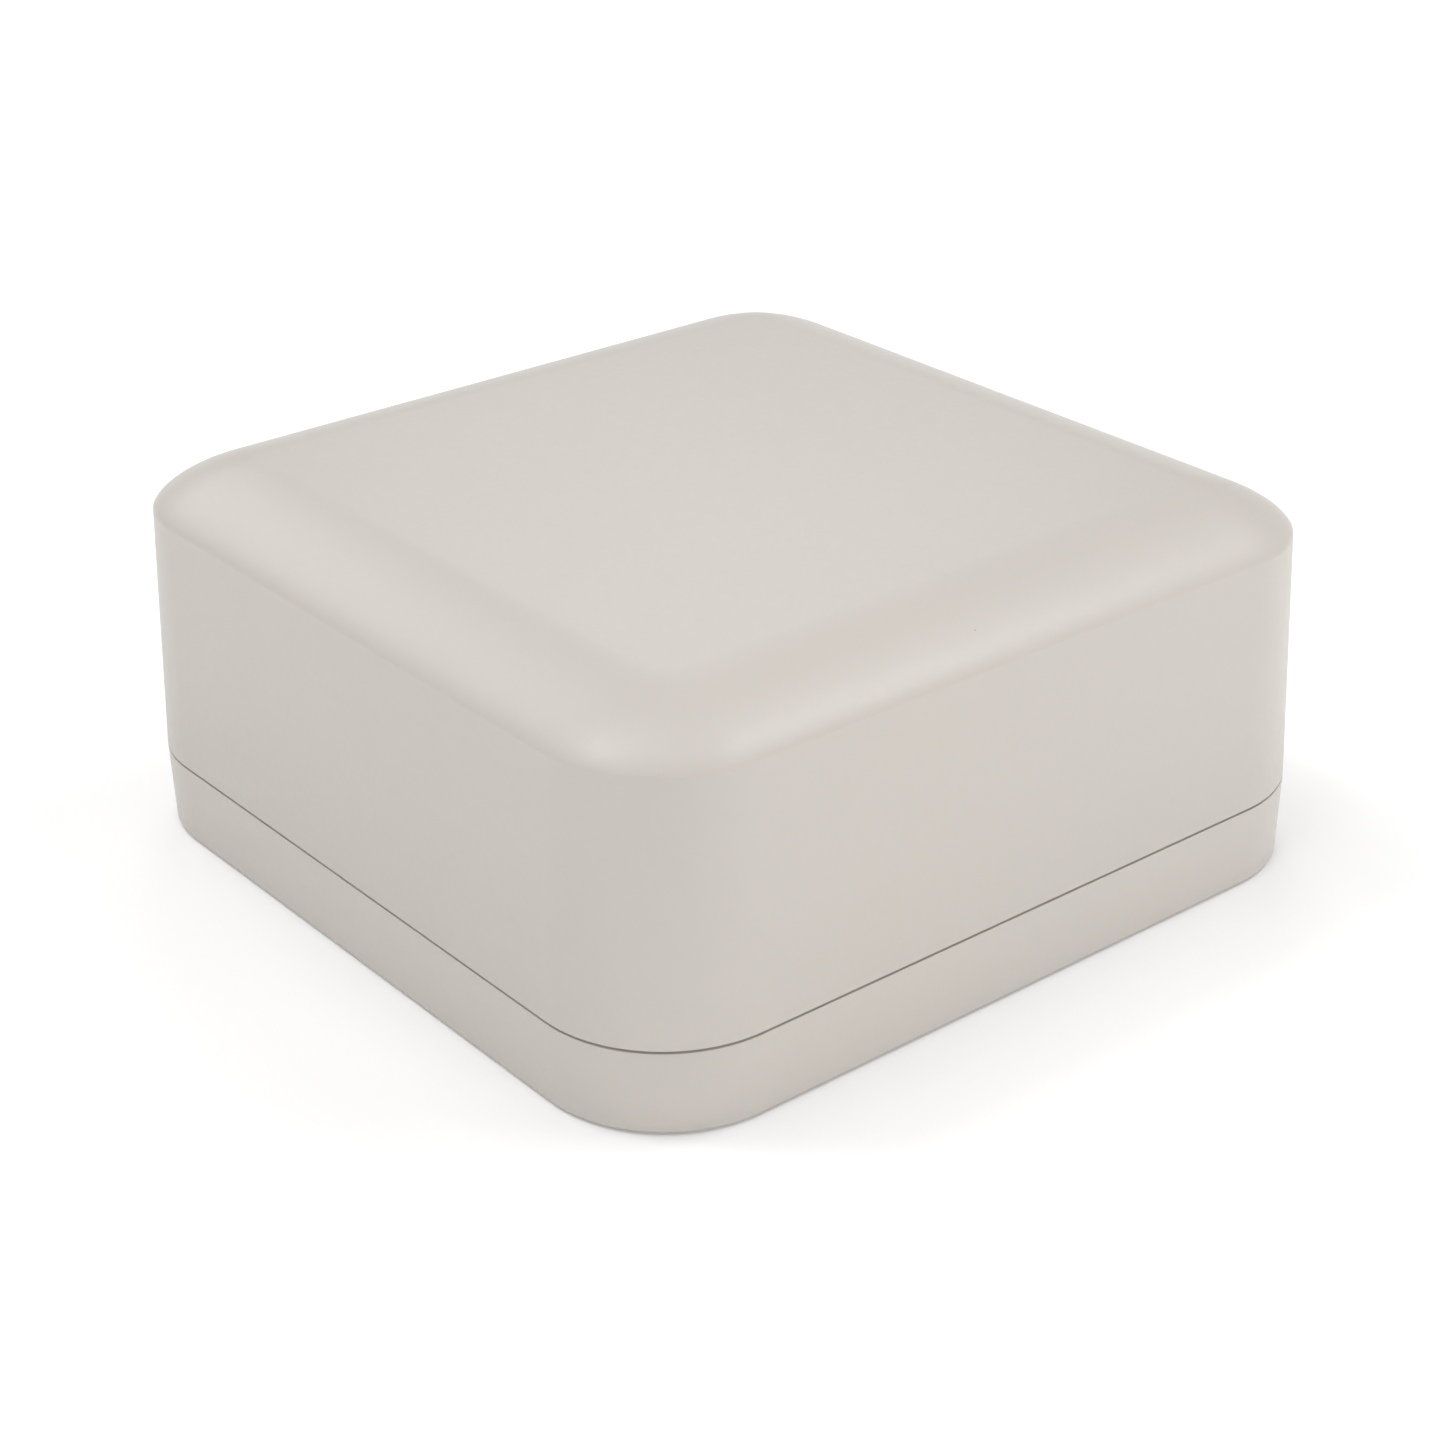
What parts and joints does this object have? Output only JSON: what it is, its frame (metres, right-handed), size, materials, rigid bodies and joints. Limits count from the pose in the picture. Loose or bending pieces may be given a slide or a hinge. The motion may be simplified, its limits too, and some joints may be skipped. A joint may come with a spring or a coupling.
{
  "type": "ceiling access point",
  "caption": "Square rounded ceiling access point in two plastic shells, with a twist-lock steel bracket, lift-off cover, circuit board, upright antennas and a cable pocket underneath.",
  "frame": {"origin": "centre of the ceiling face of the mounting bracket, which is the bottom of the part as it stands", "axes": "+Z from the ceiling face to the cover's top, so it points down into the room when mounted; +Y towards the side where the Ethernet jack lies; X and Y along the sides of the square"},
  "size_m": [0.12, 0.12, 0.053],
  "materials": {
    "shell": "fine satin moulded texture, warm light grey",
    "gasket": "soft black seal",
    "bracket_steel": "zinc plated sheet steel",
    "screw_steel": "plated steel",
    "circuit_board": "solder mask over glass fibre laminate",
    "chip": "moulded epoxy",
    "tinned_steel": "tinned sheet",
    "aluminium": "extruded, satin",
    "thermal_pad": "soft silicone pad",
    "white_plastic": "plain moulded",
    "black_plastic": "plain moulded",
    "ferrite": "sintered ferrite",
    "capacitor_sleeve": "shrink sleeve",
    "clear_plastic": "clear acrylic",
    "antenna_board": "printed circuit laminate",
    "brass": "gold plated",
    "coax": "smooth cable jacket"
  },
  "bodies": {
    "bracket": {"mounting_bracket": "bracket_steel"},
    "housing": {"antenna_1": "antenna_board", "antenna_2": "antenna_board", "antenna_3": "antenna_board", "antenna_4": "antenna_board", "antenna_cable_1": "coax", "antenna_cable_2": "coax", "antenna_cable_3": "coax", "antenna_cable_4": "coax", "antenna_plug_1": "brass", "antenna_plug_2": "brass", "antenna_plug_3": "brass", "antenna_plug_4": "brass", "base": "shell", "board_screw_1": "screw_steel", "board_screw_2": "screw_steel", "board_screw_3": "screw_steel", "board_screw_4": "screw_steel", "capacitor_1": "capacitor_sleeve", "capacitor_2": "capacitor_sleeve", "capacitor_3": "capacitor_sleeve", "cover_screw_1": "screw_steel", "cover_screw_2": "screw_steel", "cover_screw_3": "screw_steel", "cover_screw_4": "screw_steel", "ethernet_jack": "tinned_steel", "flash_chip": "chip", "heat_sink": "aluminium", "heat_sink_pin_1": "white_plastic", "heat_sink_pin_2": "white_plastic", "heat_sink_spring_1": "screw_steel", "heat_sink_spring_2": "screw_steel", "lan_transformer": "chip", "main_board": "circuit_board", "memory_chip_1": "chip", "memory_chip_2": "chip", "poe_controller": "chip", "poe_transformer": "ferrite", "power_inductor": "ferrite", "power_jack": "black_plastic", "processor_chip": "chip", "radio_chip_1": "chip", "radio_chip_2": "chip", "radio_shield_1": "tinned_steel", "radio_shield_2": "tinned_steel", "reset_switch": "black_plastic", "seal_gasket": "gasket", "status_led": "white_plastic", "thermal_pad": "thermal_pad"},
    "lid": {"cover": "shell", "light_pipe": "clear_plastic"},
    "button": {"reset_button": "white_plastic"}
  },
  "joints": [
    {"name": "twist_lock", "type": "hinge", "parent": "bracket", "child": "housing", "pos_m": [0, 0, 0], "axis": [0, 0, 1], "range_deg": [0, 10.8]},
    {"name": "cover_lift", "type": "slide", "parent": "housing", "child": "lid", "axis": [0, 0, 1], "range_m": [0, 0.09]},
    {"name": "reset_travel", "type": "slide", "parent": "housing", "child": "button", "axis": [0, 1, 0], "range_m": [0, 0.0005], "stiffness_N_per_m": 400, "springref_m": -0.003}
  ]
}
